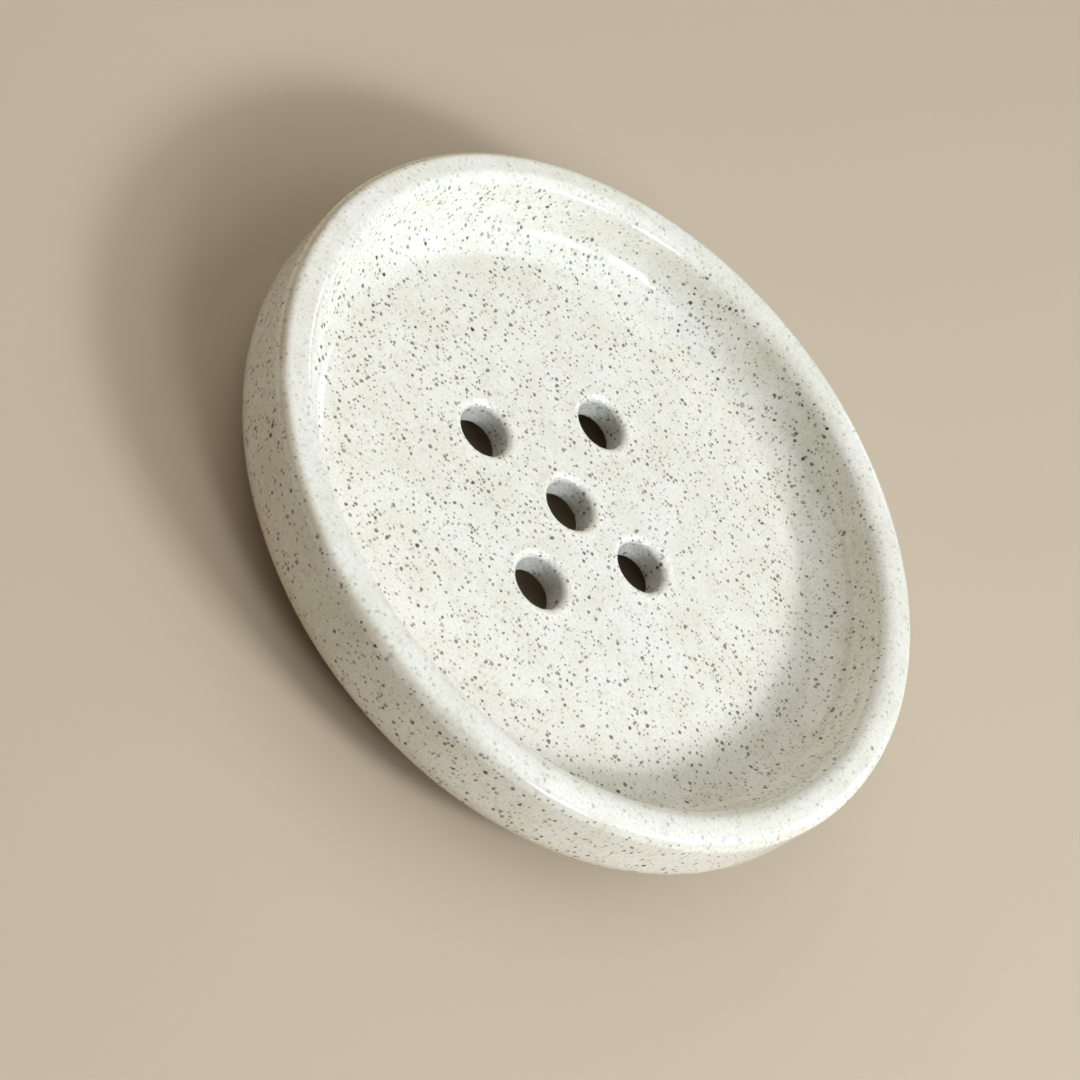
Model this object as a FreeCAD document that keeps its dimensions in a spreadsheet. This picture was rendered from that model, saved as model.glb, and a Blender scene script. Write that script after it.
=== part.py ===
"""Round soap dish of speckled stoneware: a shallow glazed bowl on a low, bare foot ring.

The bowl has a fully rounded rim, a softly curved corner between wall and floor, a bevelled
underside and five drain holes, punched by hand in a loose cross. The foot ring carries the bowl
clear of the wet surface. Bowl and ring are one fired piece, kept here as two solids that meet
face to face, because only the bowl is glazed. The origin is the centre of the foot ring, on the
surface that the dish stands on.
"""
import FreeCAD
import Part
import Sketcher
import itertools
import math
import os

# Driving dimensions, in millimetres.
SIZES = {
    "dish_diameter": 120.0,
    "dish_height": 20.0,
    "rim_width": 6.6,
    "wall_draft": 0.5,
    "floor_thickness": 4.8,
    "foot_height": 4.2,
    "foot_inset": 14.0,
    "foot_width": 5.0,
    "foot_draft": 0.6,
    "drain_diameter": 8.4,
}

# Rounds, bevels and the spread of the drain holes, as shares of what limits each.
SHARES = {
    "rim_outside_share": 0.3,
    "rim_inside_share": 0.455,
    "well_corner_share": 0.96,
    "bevel_share": 0.282,
    "drain_spread_share": 0.427,
    "drain_edge_share": 0.165,
}

# Centres of the drain holes as shares of their spread: four round a middle one, none quite square.
DRAIN_PLACE_SHARES = (
    (-1.082, -0.32),
    (-0.52, 0.985),
    (0.722, 0.214),
    (0.266, -0.946),
    (-0.107, -0.03),
)

# How far apart the two closest of those centres lie, in the same shares.
CLOSEST_DRAINS_SHARE = min(math.dist(*pair) for pair in itertools.combinations(DRAIN_PLACE_SHARES, 2))

# Sizes that follow from the ones above.
DERIVED = {
    "dish_radius": "=dish_diameter / 2",
    "well_rim_radius": "=dish_radius - rim_width",
    "well_floor_radius": "=well_rim_radius - wall_draft",
    "floor_top": "=foot_height + floor_thickness",
    "rim_outside_round": "=rim_width * rim_outside_share",
    "rim_inside_round": "=rim_width * rim_inside_share",
    "well_corner_round": "=(dish_height - floor_top - rim_inside_round) * well_corner_share",
    "underside_bevel": "=(dish_height - foot_height - rim_outside_round) * bevel_share",
    "foot_radius": "=dish_radius - foot_inset",
    "recess_radius": "=foot_radius - foot_width",
    "drain_radius": "=drain_diameter / 2",
    "drain_spread": "=recess_radius * drain_spread_share",
    "drain_web": "=drain_spread * closest_drains_share - drain_diameter",
    "drain_edge_bevel": "=drain_web * drain_edge_share",
}

# How far a corner found on a solid may lie from the sketched one, in millimetres.
MATCH = 1e-4

ORIGIN = (-1, 1)


def make_sheet(doc):
    """The spreadsheet that every sketch, round and bevel reads its sizes from."""
    sheet = doc.addObject("Spreadsheet::Sheet", "Sizes")
    cells = {**SIZES, **SHARES, "closest_drains_share": CLOSEST_DRAINS_SHARE, **DERIVED}
    for row, (name, value) in enumerate(cells.items(), start=1):
        sheet.set(f"A{row}", name)
        sheet.set(f"B{row}", str(value))
        sheet.setAlias(f"B{row}", name)
    doc.recompute()


def new_body(doc, name):
    """An empty body whose label names its file."""
    body = doc.addObject("PartDesign::Body", name)
    body.Label = name
    return body


def new_sketch(body, name, role):
    """An empty sketch on one of the body's own origin planes."""
    plane = next(part for part in body.Origin.OriginFeatures if part.Role == role)
    sketch = body.newObject("Sketcher::SketchObject", name)
    sketch.AttachmentSupport = [(plane, "")]
    sketch.MapMode = "FlatFace"
    return sketch


def place_point(sketch, kind, point, name, expression):
    """Holds a sketch point to a named distance from the sketch's origin."""
    value = float(sketch.evalExpression(expression))
    index = sketch.addConstraint(Sketcher.Constraint(kind, *ORIGIN, *point, value))
    sketch.renameConstraint(index, name)
    sketch.setExpression(f"Constraints.{name}", expression)


def draw_section(sketch, corners):
    """Lines from corner to corner, level or upright where two corners share a size."""
    places = [
        FreeCAD.Vector(float(sketch.evalExpression(radius)), float(sketch.evalExpression(height)), 0)
        for _, radius, height in corners
    ]
    for start, end in zip(places, places[1:] + places[:1]):
        sketch.addGeometry(Part.LineSegment(start, end))
    for line, (name, radius, height) in enumerate(corners):
        before = (line - 1) % len(corners)
        sketch.addConstraint(Sketcher.Constraint("Coincident", before, 2, line, 1))
        if radius == "0":
            # curve -2 of any sketch is its upright axis, and curve -1 its level one
            sketch.addConstraint(Sketcher.Constraint("PointOnObject", line, 1, -2))
        elif line and radius == corners[before][1]:
            sketch.addConstraint(Sketcher.Constraint("Vertical", before))
        else:
            place_point(sketch, "DistanceX", (line, 1), f"{name}_radius", radius)
        if height == "0":
            sketch.addConstraint(Sketcher.Constraint("PointOnObject", line, 1, -1))
        elif line and height == corners[before][2]:
            sketch.addConstraint(Sketcher.Constraint("Horizontal", before))
        else:
            place_point(sketch, "DistanceY", (line, 1), f"{name}_height", height)


def turn_section(body, corners):
    """The body's half section, turned a full circle about the upright axis."""
    sketch = new_sketch(body, f"{body.Name}_section", "XZ_Plane")
    draw_section(sketch, corners)
    turned = body.newObject("PartDesign::Revolution", f"{body.Name}_turned")
    turned.Profile = sketch
    turned.ReferenceAxis = (sketch, ["V_Axis"])
    body.Document.recompute()


def circles_at(shape, radius, height):
    """Names of the solid's level circular edges of this radius at this height."""
    return [
        f"Edge{number}"
        for number, edge in enumerate(shape.Edges, start=1)
        if isinstance(edge.Curve, Part.Circle)
        and abs(edge.Curve.Radius - radius) < MATCH
        and abs(edge.Curve.Center.z - height) < MATCH
    ]


def dress_edges(body, kind, name, radius, height, amount):
    """A fillet or chamfer on the circular edges at this radius and height of the body."""
    base = body.Tip
    where = [float(base.evalExpression(place)) for place in (radius, height)]
    feature = body.newObject(f"PartDesign::{kind}", name)
    feature.Base = (base, circles_at(base.Shape, *where))
    feature.setExpression("Radius" if kind == "Fillet" else "Size", amount)
    body.Document.recompute()


def punch_drains(body):
    """The drain holes through the floor, each with a bevelled mouth."""
    sketch = new_sketch(body, "drain_places", "XY_Plane")
    upward = FreeCAD.Vector(0, 0, 1)
    radius = float(sketch.evalExpression("Sizes.drain_radius"))
    for number, shares in enumerate(DRAIN_PLACE_SHARES):
        across, along = [f"Sizes.drain_spread * {share}" for share in shares]
        centre = FreeCAD.Vector(float(sketch.evalExpression(across)), float(sketch.evalExpression(along)), 0)
        sketch.addGeometry(Part.Circle(centre, upward, radius))
        place_point(sketch, "DistanceX", (number, 3), f"drain_{number}_across", across)
        place_point(sketch, "DistanceY", (number, 3), f"drain_{number}_along", along)
        index = sketch.addConstraint(Sketcher.Constraint("Radius", number, radius))
        sketch.renameConstraint(index, f"drain_{number}_radius")
        sketch.setExpression(f"Constraints.drain_{number}_radius", "Sizes.drain_radius")
    drains = body.newObject("PartDesign::Pocket", "drains")
    drains.Profile = sketch
    drains.Type = "ThroughAll"
    drains.Midplane = True
    body.Document.recompute()
    mouth = ("Sizes.drain_radius", "Sizes.floor_top")
    dress_edges(body, "Chamfer", "drain_mouths", *mouth, "Sizes.drain_edge_bevel")


def glazed_bowl(doc):
    """The glazed bowl: floor, wall, rounded rim and the holes that the water leaves by."""
    body = new_body(doc, "glazed_bowl")
    outside, top = "Sizes.dish_radius", "Sizes.dish_height"
    under, floor = "Sizes.foot_height", "Sizes.floor_top"
    inside, corner = "Sizes.well_rim_radius", "Sizes.well_floor_radius"
    corners = (
        ("underside_centre", "0", under),
        ("underside_edge", outside, under),
        ("rim_outside", outside, top),
        ("rim_inside", inside, top),
        ("well_corner", corner, floor),
        ("floor_centre", "0", floor),
    )
    turn_section(body, corners)
    dress_edges(body, "Fillet", "rim_outside", outside, top, "Sizes.rim_outside_round")
    dress_edges(body, "Fillet", "rim_inside", inside, top, "Sizes.rim_inside_round")
    dress_edges(body, "Fillet", "well_corner", corner, floor, "Sizes.well_corner_round")
    dress_edges(body, "Chamfer", "underside_edge", outside, under, "Sizes.underside_bevel")
    punch_drains(body)
    return body


def foot_ring(doc):
    """The bare ring that the bowl stands on, a little narrower at the ground than at its root."""
    body = new_body(doc, "foot_ring")
    corners = (
        ("root_inside", "Sizes.recess_radius", "Sizes.foot_height"),
        ("edge_inside", "Sizes.recess_radius + Sizes.foot_draft", "0"),
        ("edge_outside", "Sizes.foot_radius - Sizes.foot_draft", "0"),
        ("root_outside", "Sizes.foot_radius", "Sizes.foot_height"),
    )
    turn_section(body, corners)
    return body


def check_document(doc, nodes):
    """Stops if any feature failed or a sub-part isn't one sound solid."""
    failed = [item.Name for item in doc.Objects if {"Invalid", "Error"} & set(item.State)]
    if failed:
        raise RuntimeError(f"features failed: {failed}")
    for node in nodes:
        shape = node.Shape
        if shape.isNull() or not shape.isValid() or len(shape.Solids) != 1:
            raise RuntimeError(f"{node.Label} is not one sound solid")


def main():
    doc = FreeCAD.newDocument("soap_dish")
    make_sheet(doc)
    nodes = (glazed_bowl(doc), foot_ring(doc))
    doc.recompute()
    check_document(doc, nodes)
    os.makedirs("parts", exist_ok=True)
    for node in nodes:
        node.Shape.exportStep(f"parts/{node.Label}.step")
        print(f"{node.Label}: {node.Shape.Volume:.0f} mm3, {len(node.Shape.Faces)} faces")


main()
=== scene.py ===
import bmesh
import bpy
import math
from mathutils import Matrix, Vector, geometry


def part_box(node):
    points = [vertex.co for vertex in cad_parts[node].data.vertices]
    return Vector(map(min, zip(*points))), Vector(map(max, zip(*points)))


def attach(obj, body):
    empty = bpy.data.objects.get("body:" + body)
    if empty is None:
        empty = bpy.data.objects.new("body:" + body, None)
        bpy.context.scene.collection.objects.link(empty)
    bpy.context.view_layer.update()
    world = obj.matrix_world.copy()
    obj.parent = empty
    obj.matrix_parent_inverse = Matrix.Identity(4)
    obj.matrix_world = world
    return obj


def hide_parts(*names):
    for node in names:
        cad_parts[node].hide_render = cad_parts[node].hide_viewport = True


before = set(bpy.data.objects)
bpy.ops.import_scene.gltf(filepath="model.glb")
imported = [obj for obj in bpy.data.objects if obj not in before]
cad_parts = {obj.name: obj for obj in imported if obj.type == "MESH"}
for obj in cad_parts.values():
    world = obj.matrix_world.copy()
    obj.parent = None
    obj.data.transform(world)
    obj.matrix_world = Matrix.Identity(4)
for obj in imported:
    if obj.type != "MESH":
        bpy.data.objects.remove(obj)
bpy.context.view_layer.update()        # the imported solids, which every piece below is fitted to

mm = 0.001
weld = 0.005 * mm        # points nearer than this become one
seamWeld = 0.001 * mm    # and along the seam of a turned shape
arcStep = 7.5            # degrees from point to point round a corner
noiseMiddle = (0.5, 0.5, 0.5)
shareIn, underIn, overIn, mixedOut = 0, 6, 7, 2      # the sockets of a Mix node set to colours
scene = bpy.context.scene


def linear(hexColour):
    # an sRGB hex colour as the linear values that a socket holds
    channels = [int(hexColour[place:place + 2], 16) / 255 for place in (1, 3, 5)]
    return (*[c / 12.92 if c <= 0.04045 else ((c + 0.055) / 1.055) ** 2.4 for c in channels], 1.0)


def addNode(tree, kind, inputs=None, **settings):
    # one node; each input takes a plain value, or the output socket that feeds it
    node = tree.nodes.new(kind)
    for name, value in settings.items():
        setattr(node, name, value)
    for key, value in (inputs or {}).items():
        if isinstance(value, bpy.types.NodeSocket):
            tree.links.new(value, node.inputs[key])
        else:
            node.inputs[key].default_value = value
    return node


def softenedLine(corners, spacing):
    # a turned section as points: (radius, height, rounding) corners become arcs, and the straights
    # between them are cut up
    places = [Vector(corner[:2]) for corner in corners]
    line = [places[0]]
    for i in range(1, len(places)):
        here, rounding = places[i], corners[i][2]
        run = [here]
        if rounding:
            back, ahead = (places[i - 1] - here).normalized(), (places[i + 1] - here).normalized()
            half = back.angle(ahead) / 2
            hub = here + (back + ahead).normalized() * (rounding / math.sin(half))
            spoke = here + back * (rounding / math.tan(half)) - hub
            turn = (math.pi - 2 * half) * (1 if back.cross(ahead) < 0 else -1)
            steps = math.ceil(abs(turn) / math.radians(arcStep))
            run = [hub + Matrix.Rotation(turn * step / steps, 2) @ spoke
                   for step in range(steps + 1)]
        start, cuts = line[-1], math.ceil((run[0] - line[-1]).length / spacing)
        line += [start.lerp(run[0], cut / cuts) for cut in range(1, cuts + 1)] + run[1:]
    return line


def sectionCurve(name, corners, spacing):
    # the section as a curve in the XZ plane, read by the turning tree
    line = softenedLine(corners, spacing)
    curve = bpy.data.curves.new(name, "CURVE")
    curve.dimensions = "3D"
    spline = curve.splines.new("POLY")
    spline.points.add(len(line) - 1)
    for point, (radius, height) in zip(spline.points, line):
        point.co = (radius * mm, 0, height * mm, 1)
    piece = bpy.data.objects.new(name, curve)
    scene.collection.objects.link(piece)
    return piece


def treeWithInputs(name, inputs):
    # a Geometry Nodes tree with these inputs; the first takes the mesh of the piece itself
    tree = bpy.data.node_groups.new(name, "GeometryNodeTree")
    tree.interface.new_socket("Geometry", in_out="OUTPUT", socket_type="NodeSocketGeometry")
    for label, kind in inputs.items():
        tree.interface.new_socket(label, in_out="INPUT", socket_type="NodeSocket" + kind)
    return tree, addNode(tree, "NodeGroupInput").outputs, addNode(tree, "NodeGroupOutput").inputs


def runTree(piece, tree, values):
    # the tree's result becomes the piece's plain mesh, closed and facing outwards
    modifier = piece.modifiers.new(tree.name, "NODES")
    modifier.node_group = tree
    for item in tree.interface.items_tree:
        if item.in_out == "INPUT" and item.name in values:
            modifier[item.identifier] = values[item.name]
    evaluated = piece.evaluated_get(bpy.context.evaluated_depsgraph_get())
    mesh = bpy.data.meshes.new_from_object(evaluated)
    piece.modifiers.remove(modifier)
    piece.data = mesh
    clay = bmesh.new()
    clay.from_mesh(mesh)
    bmesh.ops.remove_doubles(clay, verts=clay.verts, dist=weld)
    bmesh.ops.recalc_face_normals(clay, faces=clay.faces)
    clay.to_mesh(mesh)
    clay.free()


# Turning on the wheel: a section curve swept a full circle about the upright axis
def turningTree():
    tree, given, result = treeWithInputs("turnOnWheel", {"Section": "Geometry", "Segments": "Int"})
    size = addNode(tree, "GeometryNodeAttributeDomainSize", {
        "Geometry": given["Section"]}, component="CURVE")
    rings = size.outputs["Point Count"]
    columns = addNode(tree, "ShaderNodeMath", {0: given["Segments"], 1: 1.0}, operation="ADD")
    grid = addNode(tree, "GeometryNodeMeshGrid", {
        "Vertices X": columns.outputs[0], "Vertices Y": rings})
    index = addNode(tree, "GeometryNodeInputIndex").outputs[0]
    ring = addNode(tree, "ShaderNodeMath", {0: index, 1: rings}, operation="MODULO")
    column = addNode(tree, "ShaderNodeMath", {0: index, 1: rings}, operation="DIVIDE")
    column = addNode(tree, "ShaderNodeMath", {0: column.outputs[0]}, operation="FLOOR")
    share = addNode(tree, "ShaderNodeMath", {
        0: column.outputs[0], 1: given["Segments"]}, operation="DIVIDE")
    angle = addNode(tree, "ShaderNodeMath", {
        0: share.outputs[0], 1: math.tau}, operation="MULTIPLY")
    place = addNode(tree, "GeometryNodeInputPosition").outputs[0]
    onSection = addNode(tree, "GeometryNodeSampleIndex", {
        "Geometry": given["Section"], "Value": place, "Index": ring.outputs[0]},
        data_type="FLOAT_VECTOR", domain="POINT")
    onCircle = addNode(tree, "ShaderNodeVectorRotate", {
        "Vector": onSection.outputs[0], "Angle": angle.outputs[0]}, rotation_type="Z_AXIS")
    shaped = addNode(tree, "GeometryNodeSetPosition", {
        "Geometry": grid.outputs["Mesh"], "Position": onCircle.outputs[0]})
    closed = addNode(tree, "GeometryNodeMergeByDistance", {
        "Geometry": shaped.outputs[0], "Distance": seamWeld})
    tree.links.new(closed.outputs[0], result["Geometry"])
    return tree


turnOnWheel = turningTree()


# The give of soft clay: every point drifts a little, the same way as its neighbours
def unevenTree():
    tree, given, result = treeWithInputs("handUnevenness", {
        "Mesh": "Geometry", "Amount": "Float", "Size": "Float", "Seed": "Float"})
    place = addNode(tree, "GeometryNodeInputPosition").outputs[0]
    scale = addNode(tree, "ShaderNodeMath", {0: 1.0, 1: given["Size"]}, operation="DIVIDE")
    drift = addNode(tree, "ShaderNodeTexNoise", {
        "Vector": place, "W": given["Seed"], "Scale": scale.outputs[0], "Detail": 1.0},
        noise_dimensions="4D")
    drift = addNode(tree, "ShaderNodeVectorMath", {
        0: drift.outputs["Color"], 1: noiseMiddle}, operation="SUBTRACT")
    drift = addNode(tree, "ShaderNodeVectorMath", {
        0: drift.outputs[0], "Scale": given["Amount"]}, operation="SCALE")
    moved = addNode(tree, "GeometryNodeSetPosition", {
        "Geometry": given["Mesh"], "Offset": drift.outputs[0]})
    tree.links.new(moved.outputs[0], result["Geometry"])
    return tree


handUnevenness = unevenTree()


def turned(tree, given, section, segments):
    # the section of the named input, turned into a mesh
    info = addNode(tree, "GeometryNodeObjectInfo", {"Object": given[section]})
    group = addNode(tree, "GeometryNodeGroup", {
        "Section": info.outputs["Geometry"], "Segments": given[segments]}, node_tree=turnOnWheel)
    return group.outputs[0]


def finished(tree, given, result, mesh):
    # the end of every tree: uneven, smooth, real geometry with its material
    uneven = addNode(tree, "GeometryNodeGroup", {
        "Mesh": mesh, "Amount": given["Amount"], "Size": given["Size"], "Seed": given["Seed"]},
        node_tree=handUnevenness)
    smooth = addNode(tree, "GeometryNodeSetShadeSmooth", {"Geometry": uneven.outputs[0]})
    whole = addNode(tree, "GeometryNodeRealizeInstances", {"Geometry": smooth.outputs[0]})
    coated = addNode(tree, "GeometryNodeSetMaterial", {
        "Geometry": whole.outputs[0], "Material": given["Material"]})
    tree.links.new(coated.outputs[0], result["Geometry"])
    return tree


# The bowl: a turned shell, two level plates with holes in them, and a lining for each drain
def bowlTree():
    tree, given, result = treeWithInputs("thrownBowl", {
        "Plates": "Geometry", "Section": "Object", "Segments": "Int",
        "Drain Places": "Object", "Drain Section": "Object", "Drain Segments": "Int",
        "Amount": "Float", "Size": "Float", "Seed": "Float", "Material": "Material"})
    places = addNode(tree, "GeometryNodeObjectInfo", {"Object": given["Drain Places"]})
    places = places.outputs["Geometry"]
    linings = addNode(tree, "GeometryNodeInstanceOnPoints", {
        "Points": places, "Instance": turned(tree, given, "Drain Section", "Drain Segments")})
    linings = addNode(tree, "GeometryNodeRealizeInstances", {"Geometry": linings.outputs[0]})
    joined = addNode(tree, "GeometryNodeJoinGeometry")
    for part in (given["Plates"], turned(tree, given, "Section", "Segments"), linings.outputs[0]):
        tree.links.new(part, joined.inputs[0])
    closed = addNode(tree, "GeometryNodeMergeByDistance", {
        "Geometry": joined.outputs[0], "Distance": weld})
    near = addNode(tree, "GeometryNodeProximity", {"Geometry": places}, target_element="POINTS")
    # every point keeps how far the middle of the nearest drain is, for the glaze
    marked = addNode(tree, "GeometryNodeStoreNamedAttribute", {
        "Geometry": closed.outputs[0], "Name": "drainDistance", "Value": near.outputs["Distance"]},
        data_type="FLOAT", domain="POINT")
    return finished(tree, given, result, marked.outputs[0])


# The foot: a turned ring on its own
def ringTree():
    tree, given, result = treeWithInputs("thrownRing", {
        "Geometry": "Geometry", "Section": "Object", "Segments": "Int",
        "Amount": "Float", "Size": "Float", "Seed": "Float", "Material": "Material"})
    return finished(tree, given, result, turned(tree, given, "Section", "Segments"))


low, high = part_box("glazed_bowl")
bowl = {
    "radius": high.x / mm, "top": high.z / mm, "underside": low.z / mm,
    "rimWidth": 6.6, "rimOutside": 2.0, "rimInside": 3.0,      # and the rounds of its two edges
    "wallLean": 0.5, "wellCorner": 7.9, "floorTop": 9.0,
    "underCurve": 6.3,               # the soft turn from the wall to the underside
    # the middles of the drains, punched by hand in a loose cross
    "drains": [(-18.94, -5.60), (-9.10, 17.24), (12.64, 3.75), (4.66, -16.56), (-1.87, -0.53)],
    "exitRadius": 3.95, "exitRound": 0.5, "mouthRadius": 4.45, "mouthRound": 1.3,
    "lipShare": 1.4,                 # how far a lining's level lip reaches, in times its rounding
    "plateRadius": 44.0, "plateSpacing": 1.5,
    "plateMargin": 0.6,              # kept clear along the plate's outlines, in times its spacing
    "segments": 360, "drainSegments": 96, "spacing": 1.5,
    "unevenness": 0.35, "unevennessSize": 38, "seed": 3.7,
}


def bowlSection():
    # from the edge of the upper plate, out over the rim and back under to the lower plate
    b = bowl
    inside = b["radius"] - b["rimWidth"]
    return (
        (b["plateRadius"], b["floorTop"], 0),
        (inside - b["wallLean"], b["floorTop"], b["wellCorner"]),
        (inside, b["top"], b["rimInside"]),
        (b["radius"], b["top"], b["rimOutside"]),
        (b["radius"], b["underside"], b["underCurve"]),
        (b["plateRadius"], b["underside"], 0),
    )


def liningSection():
    # one drain, measured from the floor of the well: wider at the top, rounded out at both mouths
    b = bowl
    depth = b["underside"] - b["floorTop"]
    return (
        (b["mouthRadius"] + b["mouthRound"] * b["lipShare"], 0, 0),
        (b["mouthRadius"], 0, b["mouthRound"]),
        (b["exitRadius"], depth, b["exitRound"]),
        (b["exitRadius"] + b["exitRound"] * b["lipShare"], depth, 0),
    )


def ringOfPoints(x, y, radius, count):
    turns = [math.tau * i / count for i in range(count)]
    return [(x + radius * math.cos(turn), y + radius * math.sin(turn)) for turn in turns]


def platePoints(lips):
    # even points between the plate's edge and the lips, so that it shades as smoothly as the shell
    b, points = bowl, []
    step, rise = b["plateSpacing"], b["plateSpacing"] * math.sqrt(3) / 2
    margin = step * b["plateMargin"]
    rows = math.ceil(b["plateRadius"] / rise)
    for row in range(-rows, rows + 1):
        for column in range(-rows - 1, rows + 2):
            x, y = (column + row % 2 / 2) * step, row * rise
            clear = b["plateRadius"] - math.hypot(x, y) > margin
            if clear and all(math.dist((x, y), place) > lips + margin for place in b["drains"]):
                points.append((x, y))
    return points


def makePlates():
    # the level floor and underside, with a round hole where each drain's lining meets them
    b, corners, faces = bowl, [], []
    fillInside, samePoint = 1, 1e-6      # the filling stops at the outlines; how near counts as one
    almost = 0.999                       # a chord's middle lies this much inside its circle
    for height, radius, rounding in ((b["floorTop"], b["mouthRadius"], b["mouthRound"]),
                                     (b["underside"], b["exitRadius"], b["exitRound"])):
        lips = radius + rounding * b["lipShare"]
        rings = [ringOfPoints(0, 0, b["plateRadius"], b["segments"])]
        rings += [ringOfPoints(*place, lips, b["drainSegments"]) for place in b["drains"]]
        points, edges = [], []
        for ring in rings:
            first = len(points)
            points += ring
            edges += [(first + i, first + (i + 1) % len(ring)) for i in range(len(ring))]
        points += platePoints(lips)
        flat, _, triangles, *_ = geometry.delaunay_2d_cdt(
            [Vector(point) for point in points], edges, [], fillInside, samePoint)
        first = len(corners)
        corners += [(x * mm, y * mm, height * mm) for x, y in flat]
        for triangle in triangles:
            middle = sum((flat[i] for i in triangle), Vector((0, 0))) / 3
            if all(math.dist(middle, place) > lips * almost for place in b["drains"]):
                faces.append([first + i for i in triangle])
    mesh = bpy.data.meshes.new("plates")
    mesh.from_pydata(corners, [], faces)
    return mesh


def makeBowl(material):
    b = bowl
    piece = bpy.data.objects.new("speckledBowl", makePlates())
    places = bpy.data.meshes.new("drainPlaces")
    places.from_pydata([(x * mm, y * mm, b["floorTop"] * mm) for x, y in b["drains"]], [], [])
    places = bpy.data.objects.new("drainPlaces", places)
    for made in (piece, places):
        scene.collection.objects.link(made)
    section = sectionCurve("bowlSection", bowlSection(), b["spacing"])
    lining = sectionCurve("liningSection", liningSection(), b["spacing"])
    runTree(piece, bowlTree(), {
        "Section": section, "Segments": b["segments"], "Drain Places": places,
        "Drain Section": lining, "Drain Segments": b["drainSegments"],
        "Amount": b["unevenness"] * mm, "Size": b["unevennessSize"] * mm, "Seed": b["seed"],
        "Material": material})
    for helper in (section, lining, places):
        bpy.data.objects.remove(helper)
    return piece


_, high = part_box("foot_ring")
foot = {
    "outside": 46.0, "inside": 41.0, "draft": 0.6, "edge": 0.9,
    "top": high.z / mm, "bedded": 0.6,    # how far its root runs up into the bowl
    # the root spreads where it joins the bowl, and ends in a short upright step
    "rootSpread": 0.8, "rootRound": 0.6, "rootStep": 0.1,
    "segments": 288, "spacing": 2.0,
    "unevenness": 0.06, "unevennessSize": 25, "seed": 9.1,
}


def footSection():
    # from the root's inner edge down to the ground, across and back up to where it started
    f = foot
    root, step, neck = f["top"] + f["bedded"], f["top"] - f["rootStep"], f["top"] - f["rootSpread"]
    return (
        (f["inside"] - f["rootSpread"], root, 0),
        (f["inside"] - f["rootSpread"], step, 0),
        (f["inside"], neck, f["rootRound"]),
        (f["inside"] + f["draft"], 0, f["edge"]),
        (f["outside"] - f["draft"], 0, f["edge"]),
        (f["outside"], neck, f["rootRound"]),
        (f["outside"] + f["rootSpread"], step, 0),
        (f["outside"] + f["rootSpread"], root, 0),
        (f["inside"] - f["rootSpread"], root, 0),
    )


def makeFoot(material):
    piece = bpy.data.objects.new("bareFoot", bpy.data.meshes.new("bareFoot"))
    scene.collection.objects.link(piece)
    section = sectionCurve("footSection", footSection(), foot["spacing"])
    runTree(piece, ringTree(), {
        "Section": section, "Segments": foot["segments"], "Amount": foot["unevenness"] * mm,
        "Size": foot["unevennessSize"] * mm, "Seed": foot["seed"], "Material": material})
    bpy.data.objects.remove(section)
    return piece


def inMillimetres(tree):
    # every pattern is drawn in millimetres of the piece itself
    onPiece = addNode(tree, "ShaderNodeTexCoord").outputs["Object"]
    place = addNode(tree, "ShaderNodeVectorMath", {0: onPiece, "Scale": 1 / mm}, operation="SCALE")
    return place.outputs[0]


def specks(tree, place, look):
    # a random few of the cells hold a grain, each with its own width, depth and colour
    deepShare = 0.5              # how strongly the deepest grain shows, next to the shallowest
    shifted = addNode(tree, "ShaderNodeVectorMath", {0: place, 1: look["shift"]}, operation="ADD")
    cells = addNode(tree, "ShaderNodeTexVoronoi", {
        "Vector": shifted.outputs[0], "Scale": 1 / look["spacing"]})
    luck = addNode(tree, "ShaderNodeSeparateColor", {0: cells.outputs["Color"]})
    radius = addNode(tree, "ShaderNodeMapRange", {
        "Value": luck.outputs[0], "From Max": look["share"],
        "To Min": look["width"] / 2 / look["spacing"], "To Max": 0.0})
    inside = addNode(tree, "ShaderNodeMath", {
        0: radius.outputs[0], 1: cells.outputs["Distance"]}, operation="SUBTRACT")
    grain = addNode(tree, "ShaderNodeMapRange", {
        "Value": inside.outputs[0], "From Max": look["blur"] / look["spacing"]},
        interpolation_type="SMOOTHSTEP")
    depth = addNode(tree, "ShaderNodeMapRange", {
        "Value": luck.outputs[2], "To Min": look["strength"] * deepShare,
        "To Max": look["strength"]})
    seen = addNode(tree, "ShaderNodeMath", {
        0: grain.outputs[0], 1: depth.outputs[0]}, operation="MULTIPLY")
    return seen.outputs[0], luck.outputs[1]


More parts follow.
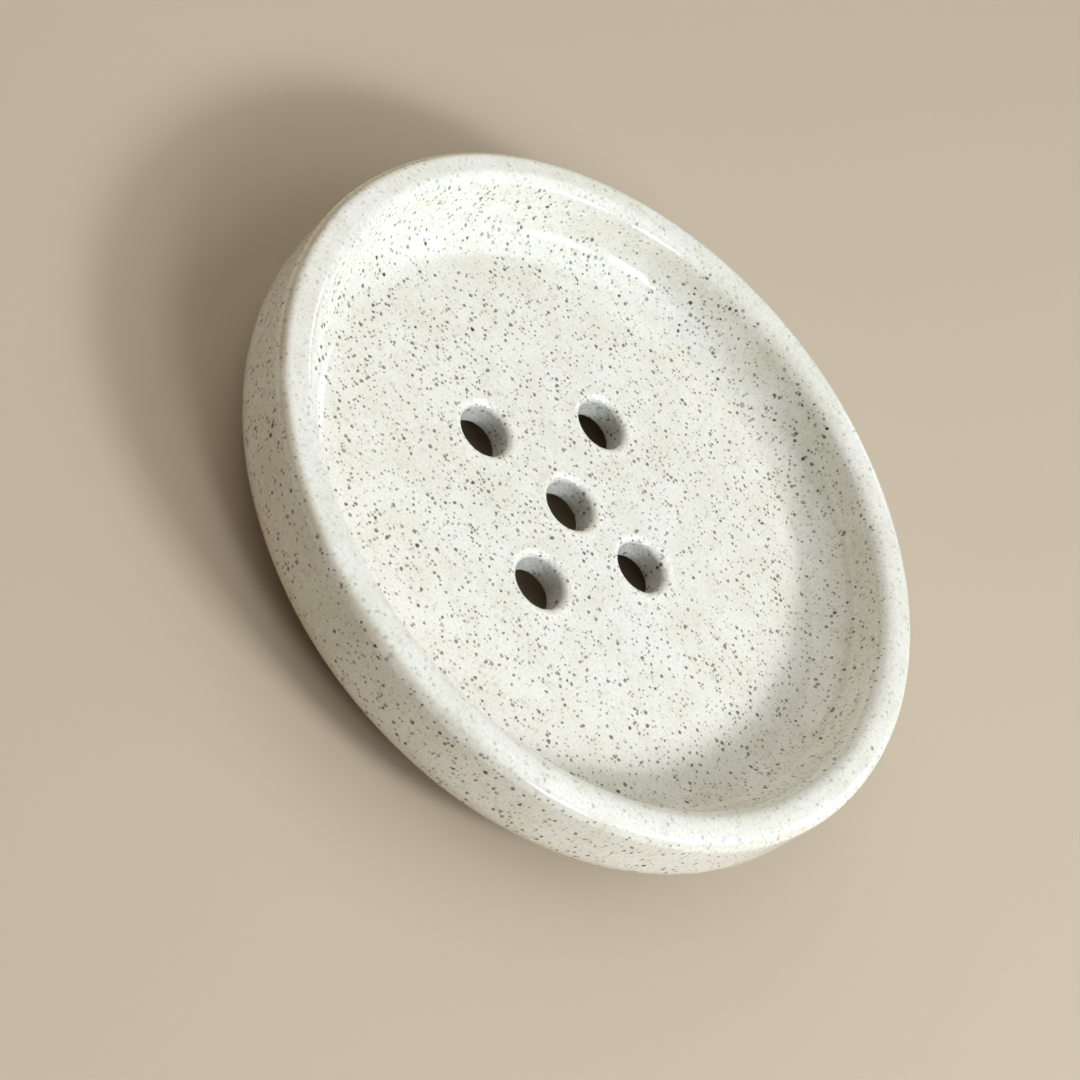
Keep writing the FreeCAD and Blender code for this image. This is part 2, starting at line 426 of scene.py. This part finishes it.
# Glazed stoneware: dipped in an off-white gloss glaze and fired, so that iron in the clay bleeds up
# as specks. It looks smooth, wet and a little milky, and the specks seem to hang at several depths.
glazeLook = {
    "glaze": "#EDE7D5", "cloud": "#E5DFC9",      # clear, and milky where it lies thicker
    "ghost": "#AFA793",                          # iron too deep to show sharply
    "thinGlazeAndShade": "#BE9F6A",                           # toasted clay under thin glaze, with painted shade where the rim turns away from the light
    "drain": "#A9A69C",                          # painted shade, a grey down the inside of the drains
    "grains": [(0.0, "#26231C"), (0.35, "#413621"), (0.7, "#624E2C"), (1.0, "#8C6F3D")],
    "roughness": 0.09, "ior": 1.5,
    # grains by size: space between them, width and soft edge in mm, and the share of places filled
    "fine": {"spacing": 0.56, "width": 0.74, "share": 0.5, "blur": 0.27,
             "shift": (3, 1, 2), "strength": 1.0},
    "plain": {"spacing": 0.82, "width": 1.0, "share": 0.5, "blur": 0.26,
              "shift": (11, 5, 7), "strength": 1.0},
    "bold": {"spacing": 4.5, "width": 1.3, "share": 0.25, "blur": 0.26,
             "shift": (2, 17, 4), "strength": 1.0},
    "ghosts": {"spacing": 1.1, "width": 1.7, "share": 0.9, "blur": 0.8,
               "shift": (23, 8, 13), "strength": 0.36},
    # how far a grain strays from a round shape
    "ragged": {"size": 0.45, "detail": 1.0, "push": 0.35},
    # the iron dust is finer than this on the real glaze; at a true 0.1 mm it wouldn't show
    "dust": {"size": 0.5, "detail": 1.0, "from": 0.4, "to": 0.75, "strength": 0.24},
    "clouds": {"size": 7, "detail": 4.0, "roughness": 0.6, "from": 0.35, "to": 0.7},
    # the tan line on the rim's outer turn, part thin glaze and part painted shade where the lit rim
    # turns to the shaded wall: degrees up the turn where it starts, is full and ends
    "rimLine": {"starts": 18, "full": 38, "fades": 48, "ends": 72},
    "rimPatches": {"size": 6, "detail": 3.0, "from": 0.3, "to": 0.7, "least": 0.3, "most": 0.65},
    "rimShadedSide": {"strong": -40.0, "weak": 20.0, "least": 0.2},        # mm across the dish; the painted shade is strongest on the side away from the lamps
    "lining": {"starts": 0.05, "full": 1.2, "share": 0.7, "reach": 7.5},    # mm down and around, for the painted shade in the drains
    "crest": {"starts": 1.3, "full": 0.3, "share": 0.35},            # mm below the top of the rim
    # the skin: slow swells, and beads of glaze round the drains, full and ending so far from them
    "swell": {"size": 5.5, "detail": 1.5, "height": 0.06, "strength": 1.0},
    "beads": {"size": 0.7, "detail": 1.0, "height": 0.2, "strength": 0.8, "full": 5.3, "ends": 7.0},
}


def raggedPlace(tree, place):
    # the place pushed about a little, so that no grain is a plain disc
    ragged = glazeLook["ragged"]
    push = addNode(tree, "ShaderNodeTexNoise", {
        "Vector": place, "Scale": 1 / ragged["size"], "Detail": ragged["detail"]})
    push = addNode(tree, "ShaderNodeVectorMath", {
        0: push.outputs["Color"], 1: noiseMiddle}, operation="SUBTRACT")
    push = addNode(tree, "ShaderNodeVectorMath", {
        0: push.outputs[0], "Scale": ragged["push"]}, operation="SCALE")
    pushed = addNode(tree, "ShaderNodeVectorMath", {0: place, 1: push.outputs[0]}, operation="ADD")
    return pushed.outputs[0]


def milkyGround(tree, place, speckPlace):
    # milky clouds where the glaze lies thicker, then the iron that lies too deep to show sharply
    look, clouds, dust = glazeLook, glazeLook["clouds"], glazeLook["dust"]
    milky = addNode(tree, "ShaderNodeTexNoise", {
        "Vector": place, "Scale": 1 / clouds["size"], "Detail": clouds["detail"],
        "Roughness": clouds["roughness"]})
    milky = addNode(tree, "ShaderNodeMapRange", {
        "Value": milky.outputs["Fac"], "From Min": clouds["from"], "From Max": clouds["to"]},
        interpolation_type="SMOOTHSTEP")
    colour = addNode(tree, "ShaderNodeMix", {
        shareIn: milky.outputs[0], underIn: linear(look["glaze"]),
        overIn: linear(look["cloud"])}, data_type="RGBA").outputs[mixedOut]
    ghosts, _ = specks(tree, speckPlace, look["ghosts"])
    colour = addNode(tree, "ShaderNodeMix", {
        shareIn: ghosts, underIn: colour, overIn: linear(look["ghost"])},
        data_type="RGBA").outputs[mixedOut]
    dusty = addNode(tree, "ShaderNodeTexNoise", {
        "Vector": place, "Scale": 1 / dust["size"], "Detail": dust["detail"]})
    dusty = addNode(tree, "ShaderNodeMapRange", {
        "Value": dusty.outputs["Fac"], "From Min": dust["from"], "From Max": dust["to"],
        "To Max": dust["strength"]})
    return addNode(tree, "ShaderNodeMix", {
        shareIn: dusty.outputs[0], underIn: colour, overIn: linear(look["ghost"])},
        data_type="RGBA").outputs[mixedOut]


def thinGlazeAndShadeOnRim(tree, place, axes):
    # the glaze runs thin and tan along the outer turn of the rim, in patches; the same band is
    # painted shade where the rim turns away from the light, more on the side away from the lamps
    line, patches, side = (glazeLook[part] for part in ("rimLine", "rimPatches", "rimShadedSide"))
    level = addNode(tree, "ShaderNodeCombineXYZ", {0: axes[0], 1: axes[1]})
    radius = addNode(tree, "ShaderNodeVectorMath", {0: level.outputs[0]}, operation="LENGTH")
    out = addNode(tree, "ShaderNodeMath", {
        0: radius.outputs["Value"], 1: bowl["radius"] - bowl["rimOutside"]}, operation="SUBTRACT")
    up = addNode(tree, "ShaderNodeMath", {
        0: axes[2], 1: bowl["top"] - bowl["rimOutside"]}, operation="SUBTRACT")
    turn = addNode(tree, "ShaderNodeMath", {
        0: up.outputs[0], 1: out.outputs[0]}, operation="ARCTAN2")
    rise = addNode(tree, "ShaderNodeMapRange", {
        "Value": turn.outputs[0], "From Min": math.radians(line["starts"]),
        "From Max": math.radians(line["full"])}, interpolation_type="SMOOTHSTEP")
    fall = addNode(tree, "ShaderNodeMapRange", {
        "Value": turn.outputs[0], "From Min": math.radians(line["fades"]),
        "From Max": math.radians(line["ends"]), "To Min": 1.0, "To Max": 0.0},
        interpolation_type="SMOOTHSTEP")
    band = addNode(tree, "ShaderNodeMath", {
        0: rise.outputs[0], 1: fall.outputs[0]}, operation="MULTIPLY")
    patchy = addNode(tree, "ShaderNodeTexNoise", {
        "Vector": place, "Scale": 1 / patches["size"], "Detail": patches["detail"]})
    patchy = addNode(tree, "ShaderNodeMapRange", {
        "Value": patchy.outputs["Fac"], "From Min": patches["from"], "From Max": patches["to"],
        "To Min": patches["least"], "To Max": patches["most"]})
    across = addNode(tree, "ShaderNodeMapRange", {
        "Value": axes[0], "From Min": side["strong"], "From Max": side["weak"],
        "To Min": 1.0, "To Max": side["least"]}, interpolation_type="SMOOTHSTEP")
    thinGlazeAndShade = addNode(tree, "ShaderNodeMath", {
        0: band.outputs[0], 1: patchy.outputs[0]}, operation="MULTIPLY")
    thinGlazeAndShade = addNode(tree, "ShaderNodeMath", {
        0: thinGlazeAndShade.outputs[0], 1: across.outputs[0]}, operation="MULTIPLY")
    return thinGlazeAndShade.outputs[0]


def paintedShadeDownDrains(tree, axes, reach):
    # painted shade: how much a point gets, by how far down the inside of a drain it lies
    lining, floorTop = glazeLook["lining"], bowl["floorTop"]
    down = addNode(tree, "ShaderNodeMapRange", {
        "Value": axes[2], "From Min": floorTop - lining["full"],
        "From Max": floorTop - lining["starts"], "To Min": lining["share"], "To Max": 0.0},
        interpolation_type="SMOOTHSTEP")
    near = addNode(tree, "ShaderNodeMath", {
        0: reach, 1: lining["reach"] * mm}, operation="LESS_THAN")
    inside = addNode(tree, "ShaderNodeMath", {
        0: down.outputs[0], 1: near.outputs[0]}, operation="MULTIPLY")
    return inside.outputs[0]


def sharpGrains(tree, speckPlace, axes, colour):
    # fine grains first; most stay hidden near the top of the rim
    look, crest = glazeLook, glazeLook["crest"]
    offCrest = addNode(tree, "ShaderNodeMapRange", {
        "Value": axes[2], "From Min": bowl["top"] - crest["starts"],
        "From Max": bowl["top"] - crest["full"], "To Min": 1.0, "To Max": crest["share"]},
        interpolation_type="SMOOTHSTEP")
    for size in ("fine", "plain", "bold"):
        seen, luck = specks(tree, speckPlace, look[size])
        if size != "bold":
            seen = addNode(tree, "ShaderNodeMath", {
                0: seen, 1: offCrest.outputs[0]}, operation="MULTIPLY").outputs[0]
        ramp = addNode(tree, "ShaderNodeValToRGB", {0: luck})
        stops = ramp.color_ramp.elements
        for number, (stop, shade) in enumerate(look["grains"]):
            element = stops[number] if number < 2 else stops.new(stop)
            element.position, element.color = stop, linear(shade)
        colour = addNode(tree, "ShaderNodeMix", {
            shareIn: seen, underIn: colour, overIn: ramp.outputs[0]},
            data_type="RGBA").outputs[mixedOut]
    return colour


def glazeSkin(tree, place, reach):
    # slow swells everywhere, and small beads round the mouths of the drains
    swell, beads = glazeLook["swell"], glazeLook["beads"]
    slow = addNode(tree, "ShaderNodeTexNoise", {
        "Vector": place, "Scale": 1 / swell["size"], "Detail": swell["detail"]})
    beaded = addNode(tree, "ShaderNodeTexNoise", {
        "Vector": place, "Scale": 1 / beads["size"], "Detail": beads["detail"]})
    mouth = addNode(tree, "ShaderNodeMapRange", {
        "Value": reach, "From Min": beads["full"] * mm, "From Max": beads["ends"] * mm,
        "To Min": 1.0, "To Max": 0.0}, interpolation_type="SMOOTHSTEP")
    beaded = addNode(tree, "ShaderNodeMath", {
        0: beaded.outputs["Fac"], 1: mouth.outputs[0]}, operation="MULTIPLY")
    swollen = addNode(tree, "ShaderNodeBump", {
        "Height": slow.outputs["Fac"], "Distance": swell["height"] * mm,
        "Strength": swell["strength"]})
    skin = addNode(tree, "ShaderNodeBump", {
        "Height": beaded.outputs[0], "Distance": beads["height"] * mm,
        "Strength": beads["strength"], "Normal": swollen.outputs[0]})
    return skin.outputs[0]


def glossyGlaze():
    look = glazeLook
    material = bpy.data.materials.new("speckledGlaze")
    material.use_nodes = True
    tree = material.node_tree
    shader = tree.nodes["Principled BSDF"]
    shader.inputs["Roughness"].default_value = look["roughness"]
    shader.inputs["IOR"].default_value = look["ior"]
    place = inMillimetres(tree)
    axes = addNode(tree, "ShaderNodeSeparateXYZ", {0: place}).outputs
    reach = addNode(tree, "ShaderNodeAttribute", attribute_name="drainDistance").outputs["Fac"]
    speckPlace = raggedPlace(tree, place)
    colour = milkyGround(tree, place, speckPlace)
    # painted shade goes in here: the tan band on the rim's turn, which is partly thin glaze, and
    # the grey down the drains
    for share, shade in ((thinGlazeAndShadeOnRim(tree, place, axes), look["thinGlazeAndShade"]),
                         (paintedShadeDownDrains(tree, axes, reach), look["drain"])):
        colour = addNode(tree, "ShaderNodeMix", {
            shareIn: share, underIn: colour, overIn: linear(shade)},
            data_type="RGBA").outputs[mixedOut]
    colour = sharpGrains(tree, speckPlace, axes, colour)
    tree.links.new(colour, shader.inputs["Base Color"])
    tree.links.new(glazeSkin(tree, place, reach), shader.inputs["Normal"])
    return material


# Bare stoneware: the same clay left unglazed, sponged and fired. It looks dry, sandy and matt, and
# darker than the bowl, with coarse dark grog in it.
clayLook = {
    "clay": "#B29B7B", "deep": "#957B5B", "grain": "#4A3C2C", "roughness": 0.88,
    "toast": {"size": 4, "detail": 4.0},             # patches that the kiln turned darker
    "grog": {"spacing": 1.1, "width": 0.6, "share": 0.5, "blur": 0.12,
             "shift": (5, 9, 3), "strength": 1.0},
    "sand": {"size": 0.35, "detail": 3.0, "height": 0.08, "strength": 0.7},      # its rough skin
}


def bareClay():
    look, toast, sand = clayLook, clayLook["toast"], clayLook["sand"]
    material = bpy.data.materials.new("bareStoneware")
    material.use_nodes = True
    tree = material.node_tree
    shader = tree.nodes["Principled BSDF"]
    shader.inputs["Roughness"].default_value = look["roughness"]
    place = inMillimetres(tree)
    toasted = addNode(tree, "ShaderNodeTexNoise", {
        "Vector": place, "Scale": 1 / toast["size"], "Detail": toast["detail"]})
    colour = addNode(tree, "ShaderNodeMix", {
        shareIn: toasted.outputs["Fac"], underIn: linear(look["clay"]),
        overIn: linear(look["deep"])}, data_type="RGBA").outputs[mixedOut]
    grains, _ = specks(tree, place, look["grog"])
    colour = addNode(tree, "ShaderNodeMix", {
        shareIn: grains, underIn: colour, overIn: linear(look["grain"])},
        data_type="RGBA").outputs[mixedOut]
    tree.links.new(colour, shader.inputs["Base Color"])
    sandy = addNode(tree, "ShaderNodeTexNoise", {
        "Vector": place, "Scale": 1 / sand["size"], "Detail": sand["detail"]})
    bump = addNode(tree, "ShaderNodeBump", {
        "Height": sandy.outputs["Fac"], "Distance": sand["height"] * mm,
        "Strength": sand["strength"]})
    tree.links.new(bump.outputs[0], shader.inputs["Normal"])
    return material


speckledBowl = makeBowl(glossyGlaze())
bareFoot = makeFoot(bareClay())
for piece, node, finish in ((speckledBowl, "glazed_bowl", "glazed_stoneware"),
                            (bareFoot, "foot_ring", "bare_stoneware")):
    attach(piece, "root")
    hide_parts(node)
    print(piece.name, "has", len(piece.data.polygons), "faces")

# The photograph's view, worked out from the outlines of the rim and the floor and from the drains
photoCamera = {
    "lens": 76.8, "sensor": 36, "nearest": 10,
    "eye": (0.0, -268.0, 249.8), "aim": (-0.4, -1.9, 0.0), "roll": 52.2,
}


def makeCamera():
    c = photoCamera
    data = bpy.data.cameras.new("photoCamera")
    data.sensor_width, data.lens, data.clip_start = c["sensor"], c["lens"], c["nearest"] * mm
    eye = bpy.data.objects.new("photoCamera", data)
    scene.collection.objects.link(eye)
    place, aim = Vector(c["eye"]) * mm, Vector(c["aim"]) * mm
    level = (aim - place).to_track_quat("-Z", "Y").to_matrix().to_4x4()
    roll = Matrix.Rotation(math.radians(c["roll"]), 4, "Z")
    eye.matrix_world = Matrix.Translation(place) @ level @ roll
    scene.camera = eye
    print("camera:", c["lens"], "mm lens, rolled by", c["roll"], "degrees")


makeCamera()

# Soft daylight from one side, over a floor of smooth, trowelled lime plaster. Plaster is dry and
# evenly matt, so it shows the shadow and no shine.
studio = {
    "floor": "#BCAA8F", "floorSize": 3000, "floorRoughness": 0.85,
    "lampDistance": 1000,
    # azimuth and height in degrees, width and tallness in mm, watts, colour
    "lamps": {
        "widePane": (0, 36, 250, 160, 7.2, "#E3EDFD"),           # throws the main shadow
        "narrowPane": (-31, 36, 220, 280, 2.7, "#E3EDFD"),       # and this one the second
        "skyGlow": (14, 50, 1700, 900, 8.4, "#E3EDFD"),          # softens both
        "lowGlow": (38, 16, 600, 160, 0.45, "#BDD4FF"),          # a cool sheen on the well's wall
        "slit": (83, 25, 100, 200, 0.2, "#FFFFFF"),              # and a narrow glint beside it
        "sideWall": (140, 32, 1000, 800, 1.2, "#FFF6F0"),        # light thrown back by a pale wall
        "ceiling": (176, 50, 1500, 1200, 6.0, "#F3F6F8"),        # fills the shaded side of the well
    },
    "room": "#FFE6CC", "roomStrength": 0.02,
}


def makeStudio():
    s = studio
    half = s["floorSize"] / 2 * mm
    corners = [(-half, -half, 0), (half, -half, 0), (half, half, 0), (-half, half, 0)]
    ground = bpy.data.meshes.new("paleFloor")
    ground.from_pydata(corners, [], [(0, 1, 2, 3)])
    floor = bpy.data.objects.new("paleFloor", ground)
    scene.collection.objects.link(floor)
    plaster = bpy.data.materials.new("palePlaster")
    plaster.use_nodes = True
    shader = plaster.node_tree.nodes["Principled BSDF"]
    shader.inputs["Base Color"].default_value = linear(s["floor"])
    shader.inputs["Roughness"].default_value = s["floorRoughness"]
    ground.materials.append(plaster)
    for name, (azimuth, height, width, tallness, power, colour) in s["lamps"].items():
        data = bpy.data.lights.new(name, "AREA")
        data.shape, data.size, data.size_y = "RECTANGLE", width * mm, tallness * mm
        data.energy, data.color = power, linear(colour)[:3]
        lamp = bpy.data.objects.new(name, data)
        scene.collection.objects.link(lamp)
        turn, rise = math.radians(azimuth), math.radians(height)
        lamp.location = Vector((
            math.cos(turn) * math.cos(rise), math.sin(turn) * math.cos(rise),
            math.sin(rise))) * s["lampDistance"] * mm
        lamp.rotation_euler = (-lamp.location).to_track_quat("-Z", "Y").to_euler()
    room = bpy.data.worlds.new("room")
    scene.world = room
    room.use_nodes = True
    light = room.node_tree.nodes["Background"]
    light.inputs["Color"].default_value = linear(s["room"])
    light.inputs["Strength"].default_value = s["roomStrength"]
    scene.view_settings.view_transform = "Standard"


makeStudio()
print("studio: floor,", len(studio["lamps"]), "lamps and the room")
